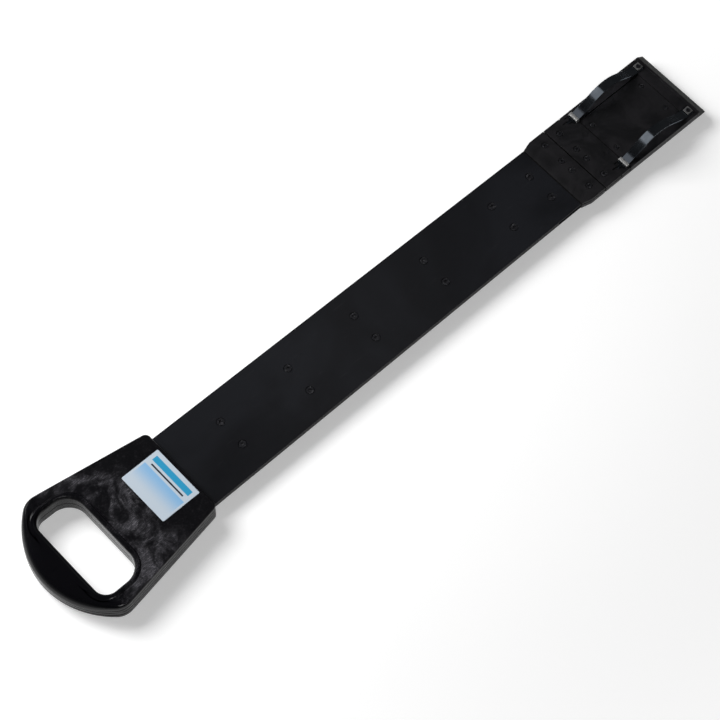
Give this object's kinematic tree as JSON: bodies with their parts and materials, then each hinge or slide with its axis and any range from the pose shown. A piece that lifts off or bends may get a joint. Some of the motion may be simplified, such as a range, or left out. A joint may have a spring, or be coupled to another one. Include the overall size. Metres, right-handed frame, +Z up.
{
  "type": "stack probe",
  "caption": "Long flat black probe with a loop grip, a laminated blade and a hinged sensor head pressed down by two bow springs.",
  "frame": {"origin": "centre of the footprint, on the plane of the handle's lower face", "axes": "+X along the blade from the grip to the head's tip, +Z up from the sensing side to the bow spring side, +Y to the left"},
  "size_m": [0.7994, 0.1396, 0.0315],
  "materials": {
    "black_shell": "moulded, glossy grip with a satin deck",
    "label": "printed film, blank",
    "blade_plate": "matte black anodised",
    "core_plastic": "matte",
    "black_screw": "black oxide",
    "head_body": "machined, satin",
    "spring_steel": "blued, polished",
    "bright_steel": "bright",
    "electrode": "satin",
    "board": "solder mask",
    "cable_jacket": "matte"
  },
  "bodies": {
    "probe": {"handle_upper_shell": "black_shell", "handle_lower_shell": "black_shell", "rating_label": "label", "jack_socket": "black_shell", "jack_nut": "bright_steel", "cable_saddle": "core_plastic", "handle_screw_front_left": "black_screw", "handle_screw_front_right": "black_screw", "handle_screw_rear_left": "black_screw", "handle_screw_rear_right": "black_screw", "blade_top_plate": "blade_plate", "blade_core": "core_plastic", "blade_bottom_plate": "blade_plate", "signal_cable": "cable_jacket", "blade_screw_1_left": "black_screw", "blade_screw_1_right": "black_screw", "blade_screw_2_left": "black_screw", "blade_screw_2_right": "black_screw", "blade_screw_3_left": "black_screw", "blade_screw_3_right": "black_screw", "blade_screw_4_left": "black_screw", "blade_screw_4_right": "black_screw", "blade_screw_5_left": "black_screw", "blade_screw_5_right": "black_screw", "blade_screw_6_left": "black_screw", "blade_screw_6_right": "black_screw", "neck_block": "head_body", "neck_cover": "head_body", "hinge_leaf": "spring_steel", "neck_screw_1": "black_screw", "neck_screw_2": "black_screw", "neck_screw_3": "black_screw", "neck_screw_4": "black_screw"},
    "head": {"head_base": "head_body", "head_rear_cover": "head_body", "head_frame": "head_body", "sensor_cover": "head_body", "sensor_board": "board", "sensor_plate": "electrode", "sensor_lead": "cable_jacket", "rear_screw_1": "black_screw", "rear_screw_2": "black_screw", "rear_screw_3": "black_screw", "rear_screw_4": "black_screw", "cover_screw_1": "black_screw", "cover_screw_2": "black_screw", "cover_screw_3": "black_screw", "cover_screw_4": "black_screw", "left_washer": "bright_steel", "left_rivet": "black_screw", "left_clip": "bright_steel", "right_washer": "bright_steel", "right_rivet": "black_screw", "right_clip": "bright_steel"},
    "left_spring_front": {"left_spring_far": "spring_steel"},
    "left_spring_rear": {"left_spring_near": "spring_steel"},
    "right_spring_front": {"right_spring_far": "spring_steel"},
    "right_spring_rear": {"right_spring_near": "spring_steel"}
  },
  "joints": [
    {"name": "head_tilt", "type": "hinge", "parent": "probe", "child": "head", "pos_m": [0.26375, 0, 0.01232], "axis": [0, 1, 0], "range_deg": [-8, 8], "stiffness_Nm_per_rad": 6, "deforming": ["hinge_leaf"]},
    {"name": "left_spring_press", "type": "hinge", "parent": "head", "child": "left_spring_front", "pos_m": [0.38375, 0.0345, 0.01562], "axis": [0, -1, 0], "range_deg": [0, 7], "stiffness_Nm_per_rad": 2},
    {"name": "left_spring_flex", "type": "hinge", "parent": "left_spring_front", "child": "left_spring_rear", "pos_m": [0.33825, 0.0345, 0.03112], "axis": [0, -1, 0], "range_deg": [-14, 0]},
    {"name": "right_spring_press", "type": "hinge", "parent": "head", "child": "right_spring_front", "pos_m": [0.38375, -0.0345, 0.01562], "axis": [0, -1, 0], "range_deg": [0, 7], "stiffness_Nm_per_rad": 2},
    {"name": "right_spring_flex", "type": "hinge", "parent": "right_spring_front", "child": "right_spring_rear", "pos_m": [0.33825, -0.0345, 0.03112], "axis": [0, -1, 0], "range_deg": [-14, 0]}
  ],
  "couplings": [
    {"joint": "left_spring_flex", "follows": "left_spring_press", "ratio": -2},
    {"joint": "right_spring_flex", "follows": "right_spring_press", "ratio": -2}
  ]
}
